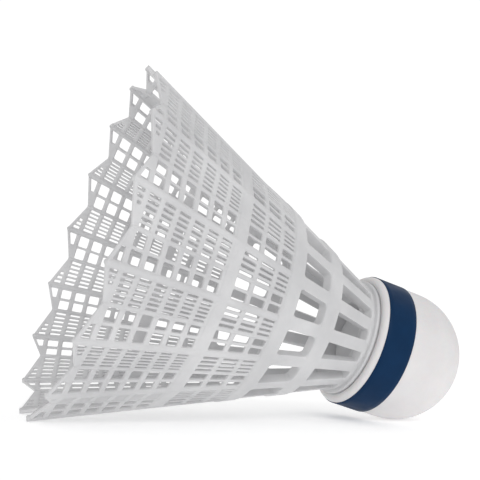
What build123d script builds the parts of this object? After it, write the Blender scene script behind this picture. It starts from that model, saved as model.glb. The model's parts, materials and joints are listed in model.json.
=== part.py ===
from build123d import *
import math
import os

# Badminton shuttlecock with a moulded nylon skirt. Millimetres.
# Every piece is made about its own axis first: +Z from the skirt's mouth, at z = 0, to the
# head's nose. The whole shuttlecock is then laid on its side, with +Z up: two neighbouring
# petal tips and the head touch the plane z = 0, and +X runs from the mouth to the nose.

# ---- skirt cone and pleats
petals = 16
tip_radius = 33.5          # outside of a petal's tip at the mouth
cone_slope = 0.413         # radius lost per millimetre of height, so an apex at 81.1
valley_ratio = 0.954       # a valley's radius over the cone's at the same height
valley_rim_z = 2.2         # the rim's edge at a valley, behind the tips
skin = 0.5                 # thickness of the lattice
ridge_rib = 1.1            # width of the raised rib along a ridge
ridge_depth = 0.85         # depth of a ridge rib under the cone
ridge_land = 0.68          # from a ridge to the nearest windows
rib_proud = 0.1            # height of a ridge rib over the cone
bar_start = 0.6            # a ridge rib starts this far behind its tip
valley_rib = 0.5           # width of the raised rib along a valley
valley_depth = 0.65        # depth of a valley rib under the valley's line
valley_proud = 0.12        # height of a valley rib over the valley's line
valley_land = 0.38         # from a valley to the nearest windows
valley_lip = 0.2           # a valley rib stands this far out of the rim
bar_taper = 0.8            # inner width of a rib or stem over its outer width
rim_rib = 0.6              # border along the rim's edge

# ---- lattice: windows in columns along the slope
mesh_z = 3.15              # first whole column starts here
mesh_columns = 6
mesh_pitch = 2.85
cross_rib = 0.85           # height of the ribs between columns
coarse_mid_rib = 0.5       # rib that parts a coarse panel's two rows of windows
coarse_border = (0.35, 0.1)  # border added to a rim triangle at the ridge, and at mid panel
fine_slots = 6             # narrow slots across a fine panel
fine_rib = 0.38
fine_border = 0.3          # border added to the rim's shortened slots
rim_slots = 3              # how many of them there are
upper_start = 22.2         # behind a plain band, the last and longer columns start here
upper_columns = 3
upper_slots = 4            # slots across a fine panel there
upper_rib = 0.5
ring_a = (32.5, 35.55)     # ring at the end of the lattice
ring_a_depth = 1.8
ring_lap = 0.4             # the last windows run this far under the ring
net_lap = 1.0              # the lattice runs this far under the ring
rib_lap = 1.2              # the ribs run this far under the ring
ring_proud = 0.2           # height of the rings and the collar over the cone

# ---- stems, rings, neck and spigot
stem_width = 2.4
stem_depth = 1.7
stem_proud = 0.05          # height of a stem over the cone
stem_lap = 1.6             # the stems start this far into the first ring
stem_short = 0.5           # the stems end this far short of the head's face
ring_b = (42.2, 45.45)
ring_b_depth = 1.9
gap_end = 54.1             # the gaps between the stems end here, at the collar
flange = (11.7, 0.8)       # radius and thickness of the disc that sits on the head
spigot_radius = 7.6
bore_radius = 6.8
cup_floor = (57.1, 0.8)    # the web that closes the spigot: height and thickness
spigot_end = 63.4

# ---- head
head_face = 55.9           # the head's flat face, under the flange
head_radius = 13.25        # over the coloured band
band_thickness = 0.15
cover_thickness = 0.5
cover_hole = 8.4           # the cover's edge, tucked under the flange
shoulder = 1.0
band = (56.9, 62.8)
dome_start = 66.8
nose = 79.5
weight = (5.2, 0.8)        # inner radius and thickness of the steel speed weight

step = 2 * math.pi / petals
cover_radius = head_radius - band_thickness


def cone(z):
    return tip_radius - cone_slope * z


def polar(radius, angle, z):
    return Vector(radius * math.cos(angle), radius * math.sin(angle), z)


def revolved(points):
    """A turned solid from points given as radius, height."""
    face = Face(Wire.make_polygon([Vector(r, 0, z) for r, z in points], close=True))
    return Solid.revolve(face, 360, Axis.Z)


def block(corners_a, corners_b):
    """A solid between two polygons with the same number of corners."""
    n = len(corners_a)
    faces = [Face(Wire.make_polygon(corners_a, close=True)),
             Face(Wire.make_polygon(corners_b, close=True))]
    for i in range(n):
        j = (i + 1) % n
        quad = [corners_a[i], corners_a[j], corners_b[j], corners_b[i]]
        faces.append(Face(Wire.make_polygon(quad, close=True)))
    return Solid(Shell(faces))


class Panel:
    """One flat side of a pleat, between a ridge and the valley beside it."""

    def __init__(self, ridge_angle, side):
        self.ridge = ridge_angle
        self.valley = ridge_angle + side * step / 2
        chord = self.point(1, 0, 0) - self.point(0, 0, 0)
        self.width = chord.length / tip_radius
        self.along = chord.normalized()
        normal = chord.cross(self.point(0, 10, 0) - self.point(0, 0, 0)).normalized()
        out = polar(1, self.ridge, 0)
        self.inward = normal * (-1 if normal.dot(out) > 0 else 1)

    def point(self, t, z, offset):
        """t is 0 on the ridge and 1 in the valley; offset is in millimetres towards the valley."""
        a = polar(cone(z), self.ridge, z)
        b = polar(valley_ratio * cone(z), self.valley, z)
        p = a + (b - a) * t
        return p if offset == 0 else p + self.along * offset

    def window(self, left, right, z1, z2):
        """A hole between two lines along the slope, each given as t and offset."""
        return Wire.make_polygon([self.point(left[0], z1, left[1]),
                                  self.point(right[0], z1, right[1]),
                                  self.point(right[0], z2, right[1]),
                                  self.point(left[0], z2, left[1])], close=True)

    def solid(self, windows, z_end):
        outline = [self.point(0, 0, 0), self.point(1, valley_rim_z, 0),
                   self.point(1, z_end, 0), self.point(0, z_end, 0)]
        face = Face(Wire.make_polygon(outline, close=True), windows)
        return Solid.extrude(face, self.inward * skin)


def rows(count, rib):
    """Equal rows between the ridge's land and the valley's, with ribs of one width between them."""
    def line(i, back):
        share = i / count
        return share, ridge_land + share * (rib - ridge_land - valley_land) - back

    return [(line(i, 0), line(i + 1, rib)) for i in range(count)]


def columns():
    lower = [(mesh_z + i * mesh_pitch, mesh_z + (i + 1) * mesh_pitch - cross_rib)
             for i in range(mesh_columns)]
    pitch = (ring_a[0] + ring_lap - upper_start + cross_rib) / upper_columns
    upper = [(upper_start + i * pitch, upper_start + (i + 1) * pitch - cross_rib)
             for i in range(upper_columns)]
    return lower, upper


def coarse_windows(panel):
    lower, upper = columns()
    holes = [panel.window(a, b, z1, z2) for a, b in rows(2, coarse_mid_rib)
             for z1, z2 in lower + upper]
    # the first window beside the ridge is cut to a triangle by the rim
    near = rows(2, coarse_mid_rib)[0]
    z2 = mesh_z - cross_rib
    fall, border = valley_rim_z / 2, coarse_border
    holes.append(Wire.make_polygon([panel.point(0, rim_rib + border[0], ridge_land),
                                    panel.point(0.5, rim_rib + fall + border[1], near[1][1]),
                                    panel.point(0.5, z2, near[1][1]),
                                    panel.point(0, z2, ridge_land)], close=True))
    return holes


def fine_windows(panel):
    lower, upper = columns()
    holes = [panel.window(a, b, z1, z2) for a, b in rows(fine_slots, fine_rib)
             for z1, z2 in lower]
    holes += [panel.window(a, b, z1, z2) for a, b in rows(upper_slots, upper_rib)
              for z1, z2 in upper]
    # shortened slots of the first column, beside the ridge
    z2 = mesh_z - cross_rib
    for i, (a, b) in enumerate(rows(fine_slots, fine_rib)[:rim_slots]):
        z1 = rim_rib + fine_border + valley_rim_z * (i + 1) / fine_slots
        holes.append(panel.window(a, b, z1, z2))
    return holes


def bar(angle, ratio, width, depth, proud, z1, z2):
    """A rib of one width that follows a ridge, valley or stem line down the cone."""
    side = Vector(-math.sin(angle), math.cos(angle), 0) * (width / 2)

    def section(z):
        r = ratio * cone(z)
        outer, inner = polar(r + proud, angle, z), polar(r - depth, angle, z)
        return [outer - side, outer + side, inner + side * bar_taper, inner - side * bar_taper]

    return block(section(z1), section(z2))


def skirt():
    net_end, rib_end = ring_a[0] + net_lap, ring_a[0] + rib_lap
    pieces = []
    for k in range(petals):
        ridge = (k + 0.5) * step
        fine, coarse = Panel(ridge, 1), Panel(ridge, -1)
        pieces.append(fine.solid(fine_windows(fine), net_end))
        pieces.append(coarse.solid(coarse_windows(coarse), net_end))
        pieces.append(bar(ridge, 1, ridge_rib, ridge_depth, rib_proud, bar_start, rib_end))
        pieces.append(bar(ridge + step / 2, valley_ratio, valley_rib, valley_depth, valley_proud,
                          valley_rim_z - valley_lip, rib_end))
        pieces.append(bar(ridge, 1, stem_width, stem_depth, stem_proud, ring_a[0] + stem_lap,
                          head_face - stem_short))
    a1, a2 = ring_a
    pieces.append(revolved([(cone(a1) + ring_proud, a1), (cone(a2) + ring_proud, a2),
                            (cone(a2) - ring_a_depth, a2), (cone(a1) - ring_a_depth, a1)]))
    b1, b2 = ring_b
    pieces.append(revolved([(cone(b1) + ring_proud, b1), (cone(b2) + ring_proud, b2),
                            (cone(b2) - ring_b_depth, b2), (cone(b1) - ring_b_depth, b1)]))
    face, underside = head_face, head_face - flange[1]
    pieces.append(revolved([
        (cone(gap_end) + ring_proud, gap_end), (cone(underside) + ring_proud, underside),
        (flange[0], underside), (flange[0], face), (spigot_radius, face),
        (spigot_radius, spigot_end), (bore_radius, spigot_end), (bore_radius, sum(cup_floor)),
        (0, sum(cup_floor)), (0, cup_floor[0]), (bore_radius, cup_floor[0]),
        (bore_radius, gap_end)]))
    return pieces[0].fuse(*pieces[1:])


def head_profile(inset):
    """Half outline of the head, shrunk by the inset, from the face's edge to the nose."""
    r, face = cover_radius - inset, head_face + inset
    round_off = shoulder - inset
    corner = Edge.make_line(Vector(cover_hole, 0, face), Vector(r - round_off, 0, face))
    turn = Edge.make_three_point_arc(
        Vector(r - round_off, 0, face),
        Vector(r - round_off * (1 - math.sqrt(0.5)), 0, face + round_off * (1 - math.sqrt(0.5))),
        Vector(r, 0, face + round_off))
    wall = Edge.make_line(Vector(r, 0, face + round_off), Vector(r, 0, dome_start))
    length = nose - inset - dome_start
    dome = Edge.make_spline(
        [Vector(r * math.cos(a), 0, dome_start + length * math.sin(a))
         for a in [i * math.pi / 16 for i in range(9)]],
        tangents=[Vector(0, 0, 1), Vector(-1, 0, 0)])
    return [corner, turn, wall, dome]


def turned(edges):
    return Solid.revolve(Face(Wire(edges)), 360, Axis.Z)


def head_cover():
    outer, inner = head_profile(0), head_profile(cover_thickness)
    ends = [Edge.make_line(Vector(0, 0, nose), Vector(0, 0, nose - cover_thickness)),
            Edge.make_line(Vector(cover_hole, 0, head_face + cover_thickness),
                           Vector(cover_hole, 0, head_face))]
    return turned(outer + inner + ends)


def cork_core():
    face, floor = head_face + cover_thickness, spigot_end + weight[1]
    path = [(cover_hole, face), (spigot_radius, face), (spigot_radius, floor), (0, floor),
            (0, nose - cover_thickness)]
    closing = [Edge.make_line(Vector(a[0], 0, a[1]), Vector(b[0], 0, b[1]))
               for a, b in zip(path, path[1:])]
    return turned(head_profile(cover_thickness) + closing)


def ring(inner, outer, z1, z2):
    return revolved([(inner, z1), (outer, z1), (outer, z2), (inner, z2)])


pieces = {
    "skirt": skirt(),
    "cork_core": cork_core(),
    "head_cover": head_cover(),
    "colour_band": ring(cover_radius, head_radius, *band),
    "speed_weight": ring(weight[0], spigot_radius, spigot_end, spigot_end + weight[1]),
}

# ---- lay it down: the plane through the two lowest tips touches the ellipse of the dome
reach = (cone(bar_start) + rib_proud) * math.cos(step / 2) + ridge_rib / 2 * math.sin(step / 2)
along = dome_start - bar_start
length = nose - dome_start
lead = along ** 2 - length ** 2
root = (reach * along) ** 2 - lead * (reach ** 2 - cover_radius ** 2)
tilt = math.atan((reach * along - math.sqrt(root)) / lead)
up = Vector(math.sin(tilt), 0, math.cos(tilt))
axis = Vector(math.cos(tilt), 0, -math.sin(tilt))
lying = Plane(origin=(0, 0, 0), x_dir=up, z_dir=axis).location

laid = {name: solid.moved(lying) for name, solid in pieces.items()}
boxes = [solid.bounding_box() for solid in laid.values()]
low = [min(tuple(b.min)[i] for b in boxes) for i in range(3)]
high = [max(tuple(b.max)[i] for b in boxes) for i in range(3)]
to_origin = Pos(-(low[0] + high[0]) / 2, 0, -low[2])

os.makedirs("parts", exist_ok=True)
for name, solid in laid.items():
    placed = solid.moved(to_origin)
    placed.label = name
    export_step(placed, "parts/" + name + ".step")
    box = placed.bounding_box()
    print(name, len(placed.solids()), "solid", len(placed.faces()), "faces, volume %.1f" % placed.volume,
          "box", [round(v, 3) for v in (*box.min, *box.max)])
print("tilt %.4f deg, mouth centre at %.4f, %.4f" % (math.degrees(tilt), to_origin.position.X,
                                                   to_origin.position.Z))
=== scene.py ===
import json
import math

import bmesh
import bpy
import numpy as np
from mathutils import Matrix, Vector
from mathutils.geometry import delaunay_2d_cdt


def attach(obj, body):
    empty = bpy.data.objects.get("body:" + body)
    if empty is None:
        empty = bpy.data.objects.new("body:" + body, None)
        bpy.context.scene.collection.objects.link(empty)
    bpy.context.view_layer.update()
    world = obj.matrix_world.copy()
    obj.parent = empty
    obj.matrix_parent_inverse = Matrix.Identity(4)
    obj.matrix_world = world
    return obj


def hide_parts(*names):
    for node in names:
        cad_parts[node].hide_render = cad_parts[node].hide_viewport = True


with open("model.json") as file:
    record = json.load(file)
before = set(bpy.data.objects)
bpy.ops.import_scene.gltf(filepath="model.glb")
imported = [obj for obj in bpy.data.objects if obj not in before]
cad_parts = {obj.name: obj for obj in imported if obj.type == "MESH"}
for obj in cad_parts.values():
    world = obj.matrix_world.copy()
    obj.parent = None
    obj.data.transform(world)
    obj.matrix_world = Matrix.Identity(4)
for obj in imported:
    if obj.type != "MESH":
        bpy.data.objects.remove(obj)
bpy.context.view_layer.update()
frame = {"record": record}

# ---------------------------------------------------------------- placement
# Pieces are made in millimetres about the shuttlecock's own axis: +Z from the skirt's mouth,
# at z = 0, to the nose. The record's head mount says where that axis lies.
MM = 0.001
GRIP_Z = 59.85                  # height of the head mount's point
grip = next(m for m in frame["record"]["mounts"] if m["name"] == "head_grip")
AXIS = Vector(grip["axis"]).normalized()
MOUTH = Vector(grip["pos_m"]) - AXIS * GRIP_Z * MM
UP = Vector((-AXIS.z, 0, AXIS.x))
SIDE = AXIS.cross(UP)
PLACE = Matrix((
    (UP.x, SIDE.x, AXIS.x, MOUTH.x),
    (UP.y, SIDE.y, AXIS.y, MOUTH.y),
    (UP.z, SIDE.z, AXIS.z, MOUTH.z),
    (0, 0, 0, 1))) @ Matrix.Scale(MM, 4)

# ---------------------------------------------------------------- skirt dimensions (mm)
PETALS = 16
PITCH = 2 * math.pi / PETALS
TIP_RADIUS = 33.5
CONE_SLOPE = 0.413              # radius lost per millimetre of height
SLANT = math.hypot(1, CONE_SLOPE)
SKIN = 0.5                      # thickness of the lattice
EDGE = 0.07                     # rounding of the moulded edges
VALLEY_RIM_Z = 2.2              # the rim's edge at a valley, behind the tips
VALLEY_DEPTH = 1.55             # depth of a pleat at the mouth
BLEND_Z = 28                    # from here to ring A the pleats fade into a round cone

# the lattice's windows: columns along the slope, rows across a flank
RIDGE_LAND = 0.68               # from a ridge to the nearest windows
VALLEY_LAND = 0.38              # from a valley to the nearest windows
RIM_RIB = 0.5                   # border along the rim
MESH_Z = 3.15                   # the first whole column starts here
MESH_COLUMNS = 6
MESH_PITCH = 2.85
CROSS_RIB = 0.85                # rib between two columns
COARSE_ROWS = 2
COARSE_RIB = 0.5
FINE_SLOTS = 6
FINE_RIB = 0.38
RIM_SLOTS = 3                   # slots beside the ridge that the rim cuts short
UPPER_START = 22.2              # behind a plain band, the last and longer columns start here
UPPER_COLUMNS = 3
UPPER_FINE_ROWS = 4
UPPER_RIB = 0.5
COARSE_ROUND = 0.28             # corner radii of the windows
UPPER_ROUND = 0.2
FINE_ROUND = 0.16

# rings, stems and raised lines
BAND_M = (19.9, 22.1)           # the plain band stands a little proud
RING_A = (32.5, 35.55)
RING_B = (42.2, 45.45)
GAP_END = 54.1                  # the gaps between the stems end here, at the collar
RING_LAP = 0.4                  # the last column's pitch runs this far under ring A
RING_CLEAR = 0.12               # the last windows stop this far short of ring A
UPPER_PITCH = (RING_A[0] + RING_LAP - UPPER_START + CROSS_RIB) / UPPER_COLUMNS
STEM_HALF = 1.2
STEM_DEPTH = 1.7
STEM_RAMP = 0.6                 # the wall thickens to the stems' depth over this height
GAP_ROUND = (0.7, 0.35)         # corner radii of the gaps before and behind ring B
RIB_PROUD = 0.12
BAND_PROUD = 0.1
RING_PROUD = 0.22
BAND_RAMP = 0.12
RING_RAMP = 0.15
INNER_RIDGE_RIB = 0.35          # depth of the inner ribs under the lattice
INNER_VALLEY_RIB = 0.18
RIB_LAP = 0.5                   # the outer ribs run this far into ring A

# collar, flange, spigot and cup
END = 54.7                      # the lattice sheets end in the collar
UNDERSIDE = 55.1                # the flange's underside
FLANGE_RADIUS = 11.7
FLANGE_FACE = 55.88             # a hair clear of the head's face
SPIGOT_RADIUS = 7.6
BORE_RADIUS = 6.8
SPIGOT_END = 63.4
WEB = (57.1, 57.9)              # the web that closes the spigot

# the head
HEAD_FACE = 55.9
COVER_RADIUS = 13.1
COVER_THICKNESS = 0.5
COVER_HOLE = 8.4
SHOULDER = 1.0
DOME_START = 66.8
NOSE = 79.5
BAND = (56.9, 62.8)
BAND_RADIUS = 13.25
BAND_EDGE = 0.06

# ---------------------------------------------------------------- mesh density
STEPS = 8                       # steps across a petal at the neck
RIB_LINES = (0.14, 0.25)        # mesh lines beside a valley
RIDGE_LINES = (0.3, 0.44, 0.56)  # mesh lines beside a ridge
RING_LINES = [BAND_M[0], BAND_M[0] + BAND_RAMP, BAND_M[1] - BAND_RAMP, BAND_M[1],
              RING_A[0], RING_A[0] + RING_RAMP, RING_A[0] + STEM_RAMP, RING_A[1] - RING_RAMP,
              RING_B[0] + RING_RAMP, RING_B[1] - RING_RAMP, GAP_END + RING_RAMP]
SIDE_START, SIDE_STEP = 1.4, 1.95   # free points along a petal's sides
SIDE_POINTS = 28
RIB_STEPS = 12                  # points along a rib's mesh line
RIDGE_REACH = 0.7               # lines nearer the ridge than this follow it
VALLEY_REACH = 0.4              # lines nearer the valley than this run straight down it
HEAD_STEPS = 144
BAND_STEPS = 180
DOME_STEPS = 28
WALL_STEPS = 8
WELD = 2e-6                     # metres


def cone(z):
    """Radius of the cone that the ridges lie on."""
    return TIP_RADIUS - CONE_SLOPE * z


def half(z):
    """Half of a petal's width, along the cone's arc."""
    return cone(z) * PITCH / 2


def rise(v, a, b):
    """0 up to a, climbing to 1 at b."""
    return min(1.0, max(0.0, (v - a) / (b - a)))


def plateau(z, low, high, edge):
    """1 between low and high and 0 beyond them, with a slope as wide as the edge inside each."""
    return min(rise(z, low, low + edge), 1 - rise(z, high - edge, high))


def outer_height(x, z):
    """How far the outer skin stands over the cone."""
    from_ridge = half(z) - abs(x)
    ribs = 0.0
    if z < RING_A[0] + RIB_LAP:
        ribs = RIB_PROUD * max(1 - rise(from_ridge, 0.44, 0.56), 1 - rise(abs(x), 0.16, 0.25))
    rings = max(BAND_PROUD * plateau(z, *BAND_M, BAND_RAMP),
                RING_PROUD * plateau(z, *RING_A, RING_RAMP),
                RING_PROUD * plateau(z, *RING_B, RING_RAMP),
                RING_PROUD * rise(z, GAP_END, GAP_END + RING_RAMP))
    return max(ribs, rings)


def inner_height(x, z):
    """The same for the inner skin, so it is below zero."""
    if z < RING_A[0]:
        from_ridge = half(z) - abs(x)
        return -SKIN - max(INNER_RIDGE_RIB * (1 - rise(from_ridge, 0.3, 0.5)),
                           INNER_VALLEY_RIB * (1 - rise(abs(x), 0.14, 0.25)))
    return -SKIN - (STEM_DEPTH - SKIN) * rise(z, RING_A[0], RING_A[0] + STEM_RAMP)


def pleat_depth(z):
    """How far a valley lies inside the cone; nothing from ring A on."""
    return VALLEY_DEPTH * (1 - rise(z, VALLEY_RIM_Z, RING_A[0]))


def on_skirt(x, z, h):
    """A point h off the pleated cone. x runs across the petal, from ridge to ridge, 0 in the valley."""
    t = x / half(z)
    a = t * PITCH / 2
    r = cone(z)
    ridge = (r * math.cos(PITCH / 2), r * math.sin(PITCH / 2) * math.copysign(1, t))
    valley = r - pleat_depth(z)
    flat = (valley + (ridge[0] - valley) * abs(t), ridge[1] * abs(t))
    k = rise(z, BLEND_Z, RING_A[0])
    k = k * k * (3 - 2 * k)
    px = flat[0] + (r * math.cos(a) - flat[0]) * k
    py = flat[1] + (r * math.sin(a) - flat[1]) * k
    out = h / SLANT
    return (px + out * math.cos(a), py + out * math.sin(a), z + out * CONE_SLOPE)


# ---------------------------------------------------------------- windows of one petal
def rounded(corners, radius, steps=3):
    """A convex polygon, counter-clockwise, with its corners rounded off."""
    corners = [Vector(c) for c in corners]
    area = sum(a.cross(b) for a, b in zip(corners, corners[1:] + corners[:1]))
    if area < 0:
        corners.reverse()
    made = []
    for i, p in enumerate(corners):
        a, b = corners[i - 1] - p, corners[(i + 1) % len(corners)] - p
        half_angle = a.angle(b) / 2
        cut = min(radius / math.tan(half_angle), min(a.length, b.length) * 0.45)
        r = cut * math.tan(half_angle)
        middle = p + (a.normalized() + b.normalized()).normalized() * (r / math.sin(half_angle))
        start, end = p + a.normalized() * cut - middle, p + b.normalized() * cut - middle
        made += [middle + start.lerp(end, k / steps).normalized() * r for k in range(steps + 1)]
    return made


def grown(points, by):
    """A convex polygon moved out by a distance, point for point."""
    made = []
    for i, p in enumerate(points):
        d = (points[(i + 1) % len(points)] - points[i - 1]).normalized()
        made.append(p + Vector((d.y, -d.x)) * by)
    return made


def window(left, right, z1, z2, radius):
    """left and right give the two sides as functions of z."""
    return rounded([(left(z1), z1 * SLANT), (right(z1), z1 * SLANT),
                    (right(z2), z2 * SLANT), (left(z2), z2 * SLANT)], radius)


def lanes(count, rib, side):
    """The sides of each lane of windows on one flank: side -1 is the fine one, 1 the coarse one."""
    def line(i, back):
        share = i / count
        offset = VALLEY_LAND + share * (rib - VALLEY_LAND - RIDGE_LAND) - back
        return lambda z: side * (half(z) * share + offset)

    return [(line(i, 0), line(i + 1, rib)) for i in range(count)]


def rim_z(x):
    """Height of the rim's edge."""
    return VALLEY_RIM_Z * (1 - abs(x) / half(0))


def petal_windows():
    """Outlines of all the lattice's windows on one petal."""
    holes = []
    lower = [(MESH_Z + i * MESH_PITCH, MESH_Z + (i + 1) * MESH_PITCH - CROSS_RIB)
             for i in range(MESH_COLUMNS)]
    upper = [(UPPER_START + i * UPPER_PITCH,
              min(UPPER_START + (i + 1) * UPPER_PITCH - CROSS_RIB, RING_A[0] - RING_CLEAR))
             for i in range(UPPER_COLUMNS)]
    for a, b in lanes(COARSE_ROWS, COARSE_RIB, 1):
        holes += [window(a, b, z1, z2, COARSE_ROUND) for z1, z2 in lower + upper]
    for a, b in lanes(FINE_SLOTS, FINE_RIB, -1):
        holes += [window(a, b, z1, z2, FINE_ROUND) for z1, z2 in lower]
    for a, b in lanes(UPPER_FINE_ROWS, UPPER_RIB, -1):
        holes += [window(a, b, z1, z2, UPPER_ROUND) for z1, z2 in upper]
    # the first column is cut short by the rim
    end = MESH_Z - CROSS_RIB
    inner, outer = lanes(COARSE_ROWS, COARSE_RIB, 1)[1]
    holes.append(rounded([(outer(0.9), (rim_z(outer(0.9)) + RIM_RIB) * SLANT),
                          (outer(end), end * SLANT), (inner(end), end * SLANT),
                          (inner(end), (rim_z(inner(end)) + RIM_RIB) * SLANT)], FINE_ROUND))
    for a, b in lanes(FINE_SLOTS, FINE_RIB, -1)[-RIM_SLOTS:]:
        holes.append(window(a, b, rim_z(a(0.5)) + RIM_RIB, end, FINE_ROUND))
    return holes


def stem_gap(z1, z2, radius):
    """The gap between two stems."""
    return window(lambda z: STEM_HALF - half(z), lambda z: half(z) - STEM_HALF, z1, z2, radius)


# ---------------------------------------------------------------- one petal's mesh
def side_heights(end):
    """Heights of the points along a petal's two sides, which its neighbours share."""
    free = [SIDE_START + i * SIDE_STEP for i in range(SIDE_POINTS)]
    free = [z for z in free if z < end - 0.8 and all(abs(z - k) > 0.45 for k in RING_LINES)]
    return sorted(free + [k for k in RING_LINES if k < end - 0.05])


def rim_line():
    """Where the points along a petal's rim lie across it."""
    w = half(0)
    xs = [w, *(w - x for x in RIDGE_LINES), w * 0.66, w * 0.33, *RIB_LINES[::-1]]
    return [-x for x in xs] + [0.0] + xs[::-1]


class Petal:
    """Faces of one petal, as points in millimetres about the axis."""

    def __init__(self):
        self.points, self.faces = [], []

    def add(self, x, z, h):
        self.points.append(on_skirt(x, z, h))
        return len(self.points) - 1

    def wall(self, outline, height):
        return [self.add(p.x, p.y / SLANT, height(p.x, p.y / SLANT)) for p in outline]

    def strip(self, a, b, closed=True):
        n = len(a)
        for i in range(n if closed else n - 1):
            j = (i + 1) % n
            self.faces.append((a[i], a[j], b[j], b[i]))

    def sheet(self, holes, end, height):
        """One skin of the petal with the holes left open; gives its rim, its end and the hole edges."""
        verts, edges, tag = [], [], []

        def put(x, s, *names):
            verts.append(Vector((x, s)))
            tag.append(names)
            return len(verts) - 1

        def chain(ids, closed=False):
            edges.extend(zip(ids, ids[1:] + ids[:1] if closed else ids[1:]))

        xs = rim_line()
        rim = []
        for x in xs:
            z = rim_z(x) + EDGE
            names = ["rim"] + [math.copysign(1.5, x)] * (abs(x) == half(0))
            rim.append(put(x * half(z) / half(0), z * SLANT, *names))
        last = [put(half(end) * (2 * i / STEPS - 1), end * SLANT, "end",
                    *[i / STEPS * 3 - 1.5] * (i in (0, STEPS))) for i in range(STEPS + 1)]
        chain(rim)
        chain(last)
        heights = side_heights(end)
        sides = {}
        for sign, first, final in ((-1, rim[0], last[0]), (1, rim[-1], last[-1])):
            ids = [put(sign * half(z), z * SLANT, sign * 1.5) for z in heights]
            chain([first, *ids, final])
            sides[sign] = dict(zip(heights, ids))
        loops = []
        for k, hole in enumerate(holes):
            loops.append([put(p.x, p.y, k) for p in grown(hole, EDGE)])
            chain(loops[-1], closed=True)
        # lines round the rings and along the ribs keep their edges crisp
        for z in RING_LINES:
            if z < end - 0.05:
                row = [put(half(z) * t / 4, z * SLANT) for t in range(-3, 4)]
                chain([sides[-1][z], *row, sides[1][z]])
        for i, x in enumerate(xs[1:-1]):
            from_ridge = half(0) - abs(x)
            if from_ridge > RIDGE_REACH and abs(x) > VALLEY_REACH:
                continue
            ids = [rim[i + 1]]
            for k in range(1, RIB_STEPS + 1):
                z = rim_z(x) + (RING_A[0] - rim_z(x)) * k / RIB_STEPS
                px = math.copysign(half(z) - from_ridge, x) if from_ridge < RIDGE_REACH else x
                ids.append(put(px, z * SLANT))
            chain(ids)
        flat, _, triangles, origin, _, _ = delaunay_2d_cdt(verts, edges, [], 0, 1e-5)
        made, names = [], []
        for p, sources in zip(flat, origin):
            made.append(self.add(p.x, p.y / SLANT, height(p.x, p.y / SLANT)))
            names.append({name for o in sources for name in tag[o]})
        for tri in triangles:
            if not set.intersection(*(names[v] for v in tri)):
                self.faces.append(tuple(made[v] for v in tri))
        back = {o: made[i] for i, sources in enumerate(origin) for o in sources}
        return ([back[v] for v in rim], [back[v] for v in last],
                [[back[v] for v in loop] for loop in loops])


def build_petal():
    """One petal with its share of the rings and the collar, open at the head's end."""
    petal = Petal()
    holes = petal_windows() + [stem_gap(RING_A[1], RING_B[0], GAP_ROUND[0]),
                               stem_gap(RING_B[1], GAP_END, GAP_ROUND[1])]
    outer_rim, outer_end, outer_loops = petal.sheet(holes, END, outer_height)
    inner_rim, inner_end, inner_loops = petal.sheet(holes, END, inner_height)

    def under(x, z):
        return outer_height(x, z) - EDGE

    def over(x, z):
        return inner_height(x, z) + EDGE

    for hole, outer, inner in zip(holes, outer_loops, inner_loops):
        top, low = petal.wall(hole, under), petal.wall(hole, over)
        petal.strip(outer, top)
        petal.strip(top, low)
        petal.strip(low, inner)
    edge = [Vector((x, rim_z(x) * SLANT)) for x in rim_line()]
    top, low = petal.wall(edge, under), petal.wall(edge, over)
    petal.strip(outer_rim, top, closed=False)
    petal.strip(top, low, closed=False)
    petal.strip(low, inner_rim, closed=False)
    return petal, outer_end, inner_end


def turned(profile, steps, phase=0.0):
    """Points of a profile of (radius, z) turned about the axis, ring after ring."""
    a = phase + np.arange(steps) * 2 * math.pi / steps
    return np.concatenate([np.stack([r * np.cos(a), r * np.sin(a), np.full(steps, z)], 1)
                           for r, z in profile])


def new_object(name, points, faces, material, weld=0.0):
    """A placed object from points in millimetres. It prints how many edges lack their two faces."""
    mesh = bpy.data.meshes.new(name)
    mesh.from_pydata([tuple(p) for p in points], [], faces)
    mesh.transform(PLACE)
    mesh.materials.append(material)
    bm = bmesh.new()
    bm.from_mesh(mesh)
    if weld:
        bmesh.ops.remove_doubles(bm, verts=bm.verts, dist=weld)
    bmesh.ops.recalc_face_normals(bm, faces=bm.faces)
    loose = sum(1 for e in bm.edges if len(e.link_faces) != 2)
    print(name, "faces", len(bm.faces), "edges without exactly two faces:", loose)
    bm.to_mesh(mesh)
    bm.free()
    mesh.shade_smooth()
    o = bpy.data.objects.new(name, mesh)
    bpy.context.scene.collection.objects.link(o)
    m = o.modifiers.new("even_normals", "WEIGHTED_NORMAL")
    m.weight = 60
    return o


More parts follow.
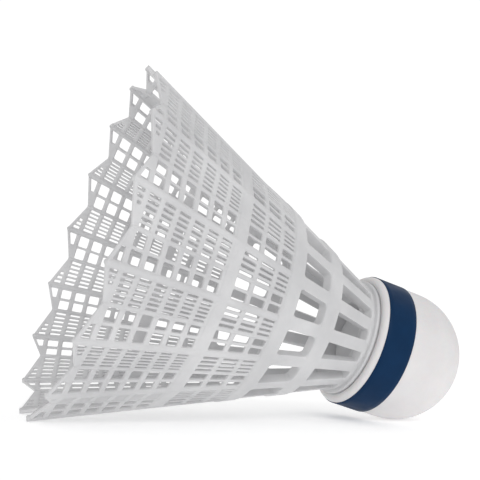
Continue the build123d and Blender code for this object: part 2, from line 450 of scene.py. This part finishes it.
def build_skirt(material):
    """The whole moulding: the petals, then the flange, the spigot and the cup as turned rings."""
    petal, outer_end, inner_end = build_petal()
    base = np.array(petal.points)
    points, faces, ring_out, ring_in = [], [], [], []
    for k in range(PETALS):
        c, s = math.cos(k * PITCH), math.sin(k * PITCH)
        points.append(base @ np.array([[c, s, 0], [-s, c, 0], [0, 0, 1]]))
        shift = k * len(base)
        faces += [tuple(v + shift for v in f) for f in petal.faces]
        ring_out += [v + shift for v in outer_end[:-1]]
        ring_in += [v + shift for v in inner_end[:-1]]
    # collar, flange, spigot and bore
    neck = cone(UNDERSIDE - 0.1)
    profile = [(neck + RING_PROUD, UNDERSIDE - 0.1), (neck + 0.3, UNDERSIDE),
               (FLANGE_RADIUS - 0.15, UNDERSIDE), (FLANGE_RADIUS, UNDERSIDE + 0.15),
               (FLANGE_RADIUS, FLANGE_FACE), (SPIGOT_RADIUS, FLANGE_FACE),
               (SPIGOT_RADIUS, SPIGOT_END - 0.1), (SPIGOT_RADIUS - 0.1, SPIGOT_END),
               (BORE_RADIUS + 0.1, SPIGOT_END), (BORE_RADIUS, SPIGOT_END - 0.1),
               (BORE_RADIUS, WEB[1] + 0.3), (BORE_RADIUS - 0.3, WEB[1])]
    steps = PETALS * STEPS
    rings = [ring_out]
    for i in range(len(profile)):
        rings.append([PETALS * len(base) + i * steps + j for j in range(steps)])
    # the blind cup that faces the bell: its floor on the head's side, then on the bell's side
    cup = [(BORE_RADIUS - 0.4, WEB[0]), (BORE_RADIUS, WEB[0] + 0.3), (BORE_RADIUS, GAP_END + 0.4),
           (BORE_RADIUS + 0.2, GAP_END + 0.15), (BORE_RADIUS + 1.2, GAP_END)]
    floor_rings = [PETALS * len(base) + (len(profile) + i) * steps for i in range(len(cup))]
    inner_rings = [[start + j for j in range(steps)] for start in floor_rings] + [ring_in]
    points.append(turned(profile + cup, steps, -PITCH / 2))
    faces += [tuple(rings[-1]), tuple(inner_rings[0])]
    for a, b in [*zip(rings, rings[1:]), *zip(inner_rings, inner_rings[1:])]:
        faces += [(a[i], a[(i + 1) % steps], b[(i + 1) % steps], b[i]) for i in range(steps)]
    return new_object("skirt_moulding", np.concatenate(points), faces, material, WELD)


# ---------------------------------------------------------------- head pieces
def lathe(outline, steps, pole=None, closed=False, first=0):
    """Points and faces of a turned outline, which may end at a pole on the axis."""
    points = [tuple(p) for p in turned(outline, steps)]
    faces = []
    n = len(outline)
    for i in range(n if closed else n - 1):
        a, b = first + i * steps, first + (i + 1) % n * steps
        faces += [(a + j, a + (j + 1) % steps, b + (j + 1) % steps, b + j) for j in range(steps)]
    if pole is not None:
        last, tip = first + (n - 1) * steps, first + len(points)
        points.append((0, 0, pole))
        faces += [(last + j, last + (j + 1) % steps, tip) for j in range(steps)]
    return points, faces


def head_outline(inset):
    """The head's half outline, shrunk by the inset, and the height of its nose."""
    r, face, shoulder = COVER_RADIUS - inset, HEAD_FACE + inset, SHOULDER - inset
    nose = NOSE - inset
    path = [(COVER_HOLE, face), (r - shoulder, face)]
    for i in range(1, WALL_STEPS + 1):
        a = math.pi / 2 * i / WALL_STEPS
        path.append((r - shoulder + shoulder * math.sin(a), face + shoulder - shoulder * math.cos(a)))
    wall = DOME_START - face - shoulder
    path += [(r, face + shoulder + wall * i / WALL_STEPS) for i in range(1, WALL_STEPS + 1)]
    for i in range(1, DOME_STEPS):
        a = math.pi / 2 * i / DOME_STEPS
        path.append((r * math.cos(a), DOME_START + (nose - DOME_START) * math.sin(a)))
    return path, nose


def build_cover(material):
    steps = HEAD_STEPS
    outer, nose = head_outline(0)
    points, faces = lathe(outer, steps, pole=nose)
    second = len(points)
    inner, nose = head_outline(COVER_THICKNESS)
    more, more_faces = lathe(inner, steps, pole=nose, first=second)
    faces += more_faces + [(j, (j + 1) % steps, second + (j + 1) % steps, second + j)
                           for j in range(steps)]
    return new_object("head_skin", points + more, faces, material)


def build_band(material):
    low, high = BAND
    inner, outer, e = COVER_RADIUS, BAND_RADIUS, BAND_EDGE
    outline = [(inner, low), (outer - e, low), (outer, low + e)]
    outline += [(outer, low + (high - low) * i / 6) for i in range(1, 6)]
    outline += [(outer, high - e), (outer - e, high), (inner, high)]
    return new_object("band_tape_ring", *lathe(outline, BAND_STEPS, closed=True), material)


# ---------------------------------------------------------------- materials
def grey(v):
    return (v, v, v)


class Nodes:
    """Lays out a procedural material round one Principled shader."""

    def __init__(self, name):
        self.material = bpy.data.materials.new(name)
        self.material.use_nodes = True
        self.tree = self.material.node_tree
        self.tree.nodes.clear()
        self.out = self.tree.nodes.new("ShaderNodeOutputMaterial")
        self.shader = self.tree.nodes.new("ShaderNodeBsdfPrincipled")
        self.place = self.tree.nodes.new("ShaderNodeTexCoord")
        self.link(self.shader, "BSDF", self.out, "Surface")

    def link(self, a, out, b, into):
        self.tree.links.new(a.outputs[out], b.inputs[into])

    def texture(self, kind, scale, detail=None, roughness=0.5):
        n = self.tree.nodes.new(kind)
        n.inputs["Scale"].default_value = scale
        if detail is not None:
            n.inputs["Detail"].default_value = detail
            n.inputs["Roughness"].default_value = roughness
        self.link(self.place, "Object", n, "Vector")
        return n

    def noise(self, scale, detail=3.0, roughness=0.5):
        return self.texture("ShaderNodeTexNoise", scale, detail, roughness)

    def cells(self, scale):
        return self.texture("ShaderNodeTexVoronoi", scale)

    def drive(self, socket, source, output, *stops):
        """A colour ramp from a texture into one of the shader's sockets."""
        r = self.tree.nodes.new("ShaderNodeValToRGB")
        while len(r.color_ramp.elements) < len(stops):
            r.color_ramp.elements.new(0.5)
        for e, (position, colour) in zip(r.color_ramp.elements, stops):
            e.position, e.color = position, (*colour, 1)
        self.link(source, output, r, "Fac")
        self.link(r, "Color", self.shader, socket)

    def bump(self, *layers):
        """Bump layers of texture, output, strength and distance, one on top of the other."""
        previous = None
        for source, output, strength, distance in layers:
            b = self.tree.nodes.new("ShaderNodeBump")
            b.inputs["Strength"].default_value = strength
            b.inputs["Distance"].default_value = distance
            self.link(source, output, b, "Height")
            if previous:
                self.link(previous, "Normal", b, "Normal")
            previous = b
        self.link(previous, "Normal", self.shader, "Normal")

    def set(self, **values):
        for key, value in values.items():
            self.shader.inputs[key.replace("_", " ")].default_value = value


def nylon():
    m = Nodes("moulded_nylon")
    m.drive("Base Color", m.noise(90, 4, 0.6), "Fac",
            (0.3, (0.55, 0.55, 0.56)), (0.7, (0.66, 0.66, 0.667)))
    m.drive("Roughness", m.noise(160, 2), "Fac", (0.35, grey(0.36)), (0.65, grey(0.5)))
    m.bump((m.noise(260, 2), "Fac", 0.3, 0.0003), (m.noise(1800, 3), "Fac", 0.25, 0.0001))
    m.set(IOR=1.45, Subsurface_Weight=0.25, Subsurface_Scale=0.0010,
          Subsurface_Radius=(1.0, 0.95, 0.95))
    return m.material


def leather():
    m = Nodes("white_synthetic_leather")
    m.drive("Base Color", m.noise(70, 5, 0.6), "Fac",
            (0.3, (0.69, 0.672, 0.677)), (0.7, (0.77, 0.755, 0.757)))
    m.drive("Roughness", m.noise(300, 3), "Fac", (0.3, grey(0.42)), (0.7, grey(0.56)))
    m.bump((m.noise(130, 2), "Fac", 0.2, 0.0003), (m.cells(1500), "Distance", 0.3, 0.00012),
           (m.noise(5200, 2), "Fac", 0.2, 0.00005))
    m.set(IOR=1.48, Subsurface_Weight=0.08, Subsurface_Scale=0.0008)
    return m.material


def tape():
    m = Nodes("dark_blue_tape")
    m.drive("Base Color", m.noise(120, 5, 0.65), "Fac",
            (0.25, (0.0015, 0.020, 0.062)), (0.75, (0.003, 0.030, 0.088)))
    m.drive("Roughness", m.noise(400, 4), "Fac", (0.3, grey(0.34)), (0.7, grey(0.52)))
    m.bump((m.noise(240, 3), "Fac", 0.25, 0.0002), (m.noise(3800, 2), "Fac", 0.12, 0.00004))
    m.set(IOR=1.45, Specular_IOR_Level=0.12)
    return m.material


def cork():
    m = Nodes("cork_granules")
    cells = m.cells(700)
    m.drive("Base Color", cells, "Color", (0.1, (0.30, 0.16, 0.07)), (0.5, (0.50, 0.31, 0.16)),
            (0.9, (0.62, 0.42, 0.24)))
    m.drive("Roughness", m.noise(900, 3), "Fac", (0.3, grey(0.75)), (0.7, grey(0.92)))
    m.bump((cells, "Distance", 0.5, 0.0003))
    return m.material


def steel():
    m = Nodes("zinc_plated_steel")
    m.drive("Base Color", m.noise(500, 4), "Fac", (0.3, grey(0.50)), (0.7, grey(0.62)))
    m.drive("Roughness", m.noise(1500, 3), "Fac", (0.3, grey(0.25)), (0.7, grey(0.42)))
    m.set(Metallic=1.0)
    return m.material


# ---------------------------------------------------------------- assemble
def keep(piece, node):
    """Puts a finished piece in the place of its CAD node."""
    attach(piece, "root")
    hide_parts(node)


keep(build_skirt(nylon()), "skirt")
keep(build_cover(leather()), "head_cover")
keep(build_band(tape()), "colour_band")
for node, made, slot in (("cork_core", cork(), "cork"), ("speed_weight", steel(), "weight_steel")):
    o = bpy.data.objects[node]
    o.data.materials.clear()
    o.data.materials.append(made)


# ---------------------------------------------------------------- floor, light and camera
def floor_material():
    """Pale, and glowing a little like a light table, so that it comes out as white as the backdrop."""
    m = Nodes("pale_floor")
    m.drive("Base Color", m.noise(3, 2), "Fac", (0.3, grey(0.86)), (0.7, grey(0.88)))
    m.set(Roughness=0.9, Emission_Color=(1, 1, 1, 1), Emission_Strength=0.36)
    return m.material


def soft_sun(towards, spread, strength):
    """A wide, soft light from far away, shining from the given direction."""
    data = bpy.data.lights.new("key", "SUN")
    data.angle, data.energy = math.radians(spread), strength
    o = bpy.data.objects.new("key", data)
    o.rotation_mode = "QUATERNION"
    o.rotation_quaternion = Vector(towards).to_track_quat("Z", "Y")
    bpy.context.scene.collection.objects.link(o)


def studio_world(fill, backdrop):
    """White surroundings that light with the fill strength and look like the backdrop's."""
    world = bpy.data.worlds.new("studio")
    world.use_nodes = True
    tree = world.node_tree
    light = tree.nodes["Background"]
    light.inputs["Color"].default_value = (1, 1, 1, 1)
    light.inputs["Strength"].default_value = fill
    seen = tree.nodes.new("ShaderNodeBackground")
    seen.inputs["Color"].default_value = (1, 1, 1, 1)
    seen.inputs["Strength"].default_value = backdrop
    path, mix = tree.nodes.new("ShaderNodeLightPath"), tree.nodes.new("ShaderNodeMixShader")
    tree.links.new(path.outputs["Is Camera Ray"], mix.inputs[0])
    tree.links.new(light.outputs[0], mix.inputs[1])
    tree.links.new(seen.outputs[0], mix.inputs[2])
    tree.links.new(mix.outputs[0], tree.nodes["World Output"].inputs["Surface"])
    bpy.context.scene.world = world


FLOOR = 30                      # metres each way, so that its edge is never seen
floor_mesh = bpy.data.meshes.new("floor")
floor_mesh.from_pydata([(-FLOOR, -FLOOR, 0), (FLOOR, -FLOOR, 0), (FLOOR, FLOOR, 0), (-FLOOR, FLOOR, 0)],
                       [], [(0, 1, 2, 3)])
floor_mesh.materials.append(floor_material())
floor = bpy.data.objects.new("floor", floor_mesh)
bpy.context.scene.collection.objects.link(floor)

studio_world(fill=0.70, backdrop=1.05)
soft_sun((0.03, -1.0, 0.60), spread=30, strength=0.65)
bpy.context.scene.view_settings.view_transform = "Standard"

# degrees: azimuth 0 looks along +Y, and a negative elevation looks up from low down
AZIMUTH, ELEVATION, ROLL = -18.042, -3.1305, 2.1047
CAMERA_PLACE = (-0.057395, -0.147412, 0.015644)
camera = bpy.data.cameras.new("camera")
camera.sensor_width = 36
camera.lens = 61.55
camera.shift_x = 0.0625
camera.shift_y = 0.1042
camera.clip_start, camera.clip_end = 0.01, 30
camera_object = bpy.data.objects.new("camera", camera)
bpy.context.scene.collection.objects.link(camera_object)
camera_object.matrix_world = (
    Matrix.Translation(CAMERA_PLACE)
    @ Matrix.Rotation(math.radians(AZIMUTH), 4, "Z")
    @ Matrix.Rotation(math.radians(90 - ELEVATION), 4, "X")
    @ Matrix.Rotation(math.radians(ROLL), 4, "Z"))
bpy.context.scene.camera = camera_object
